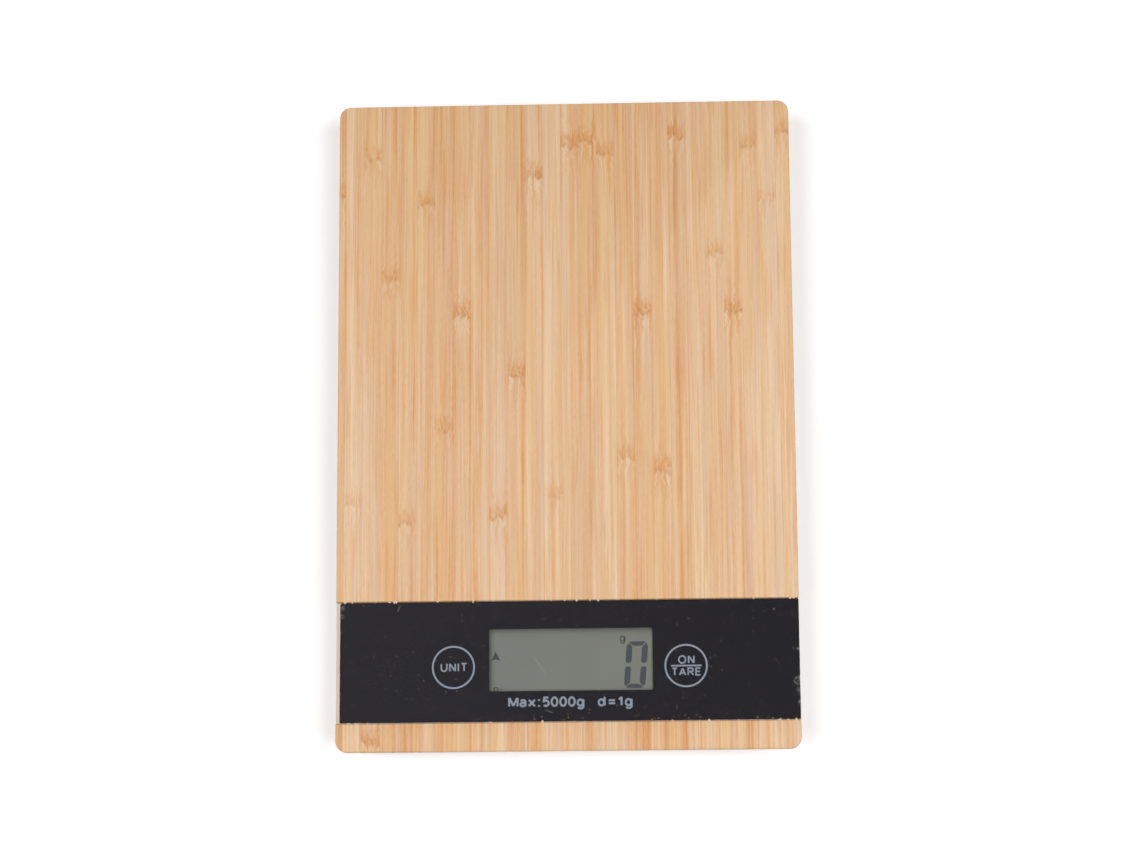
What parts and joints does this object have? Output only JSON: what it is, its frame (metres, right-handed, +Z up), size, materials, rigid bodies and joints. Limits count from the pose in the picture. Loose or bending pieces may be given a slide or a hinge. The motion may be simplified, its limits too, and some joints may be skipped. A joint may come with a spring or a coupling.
{
  "type": "kitchen scale",
  "caption": "Flat electronic kitchen scale: bamboo platform on a load cell, dark touch display strip across the front, low plastic base on four feet, coin-cell door below.",
  "frame": {"origin": "middle of the scale in plan, at the feet's undersides, on the surface that it stands on", "axes": "+Z up, normal to the platform; +Y away from the user, along the long side, so the display strip is at -Y; +X to the user's right"},
  "size_m": [0.16, 0.23, 0.018],
  "materials": {
    "bamboo": "strip bamboo, fine sanded, clear satin lacquer",
    "clear_acrylic": "clear polished acrylic",
    "black_print": "black screen print seen through the panel, with pale blue-grey legends",
    "adhesive": "thin double-sided tape",
    "display_glass": "grey-green reflective liquid-crystal glass, standing in for glass",
    "black_plastic": "fine-textured moulded ABS",
    "grey_plastic": "moulded ABS",
    "conductive_rubber": "striped silicone contact strip",
    "circuit_laminate": "glass-epoxy laminate with green solder mask",
    "epoxy": "black epoxy",
    "ceramic": "fired ceramic with tinned ends",
    "steel": "zinc-plated steel",
    "nickel": "nickel-plated spring steel",
    "coin_cell_case": "bright nickel-plated can",
    "aluminium": "milled, clear anodised",
    "silicone": "white silicone sealant",
    "gauge_film": "amber polyimide film with a metal foil grid",
    "foot_rubber": "soft matte black rubber",
    "wire_red": "PVC insulation",
    "wire_black": "PVC insulation",
    "wire_green": "PVC insulation",
    "wire_white": "PVC insulation"
  },
  "bodies": {
    "base": {"foot_front_left": "foot_rubber", "foot_front_right": "foot_rubber", "foot_back_left": "foot_rubber", "foot_back_right": "foot_rubber", "base_cover": "black_plastic", "load_cell": "aluminium", "lower_spacer": "steel", "fixed_end_screw_1": "steel", "fixed_end_screw_2": "steel", "coin_cell": "coin_cell_case", "negative_contact": "nickel", "positive_contact": "nickel", "gauge_sealant_top": "silicone", "gauge_sealant_bottom": "silicone", "gauge_top_front": "gauge_film", "gauge_top_back": "gauge_film", "gauge_bottom_front": "gauge_film", "gauge_bottom_back": "gauge_film"},
    "platform": {"bamboo_platform": "bamboo", "display_panel": "clear_acrylic", "panel_print": "black_print", "panel_tape": "adhesive", "platform_tape": "adhesive", "lcd_glass": "display_glass", "upper_housing": "black_plastic", "lcd_frame": "grey_plastic", "contact_strip": "conductive_rubber", "circuit_board": "circuit_laminate", "controller_blob": "epoxy", "weighing_chip": "epoxy", "capacitor_1": "ceramic", "capacitor_2": "ceramic", "upper_spacer": "steel", "board_screw_1": "steel", "board_screw_2": "steel", "board_screw_3": "steel", "board_screw_4": "steel", "pcb_screw_1": "steel", "pcb_screw_2": "steel", "pcb_screw_3": "steel", "pcb_screw_4": "steel", "live_end_screw_1": "steel", "live_end_screw_2": "steel", "unit_touch_spring": "nickel", "tare_touch_spring": "nickel", "quartz_crystal": "nickel", "cell_wire_red": "wire_red", "battery_wire_red": "wire_red", "cell_wire_black": "wire_black", "battery_wire_black": "wire_black", "cell_wire_green": "wire_green", "cell_wire_white": "wire_white"},
    "battery_door": {"battery_door": "black_plastic"}
  },
  "joints": [
    {"name": "platform_travel", "type": "slide", "parent": "base", "child": "platform", "axis": [0, 0, 1], "range_m": [-0.0006, 0], "stiffness_N_per_m": 120000, "deforming": ["load_cell"]},
    {"name": "battery_door_hinge", "type": "hinge", "parent": "base", "child": "battery_door", "pos_m": [0, 0.08135, 0.00325], "axis": [1, 0, 0], "range_deg": [0, 75]}
  ]
}
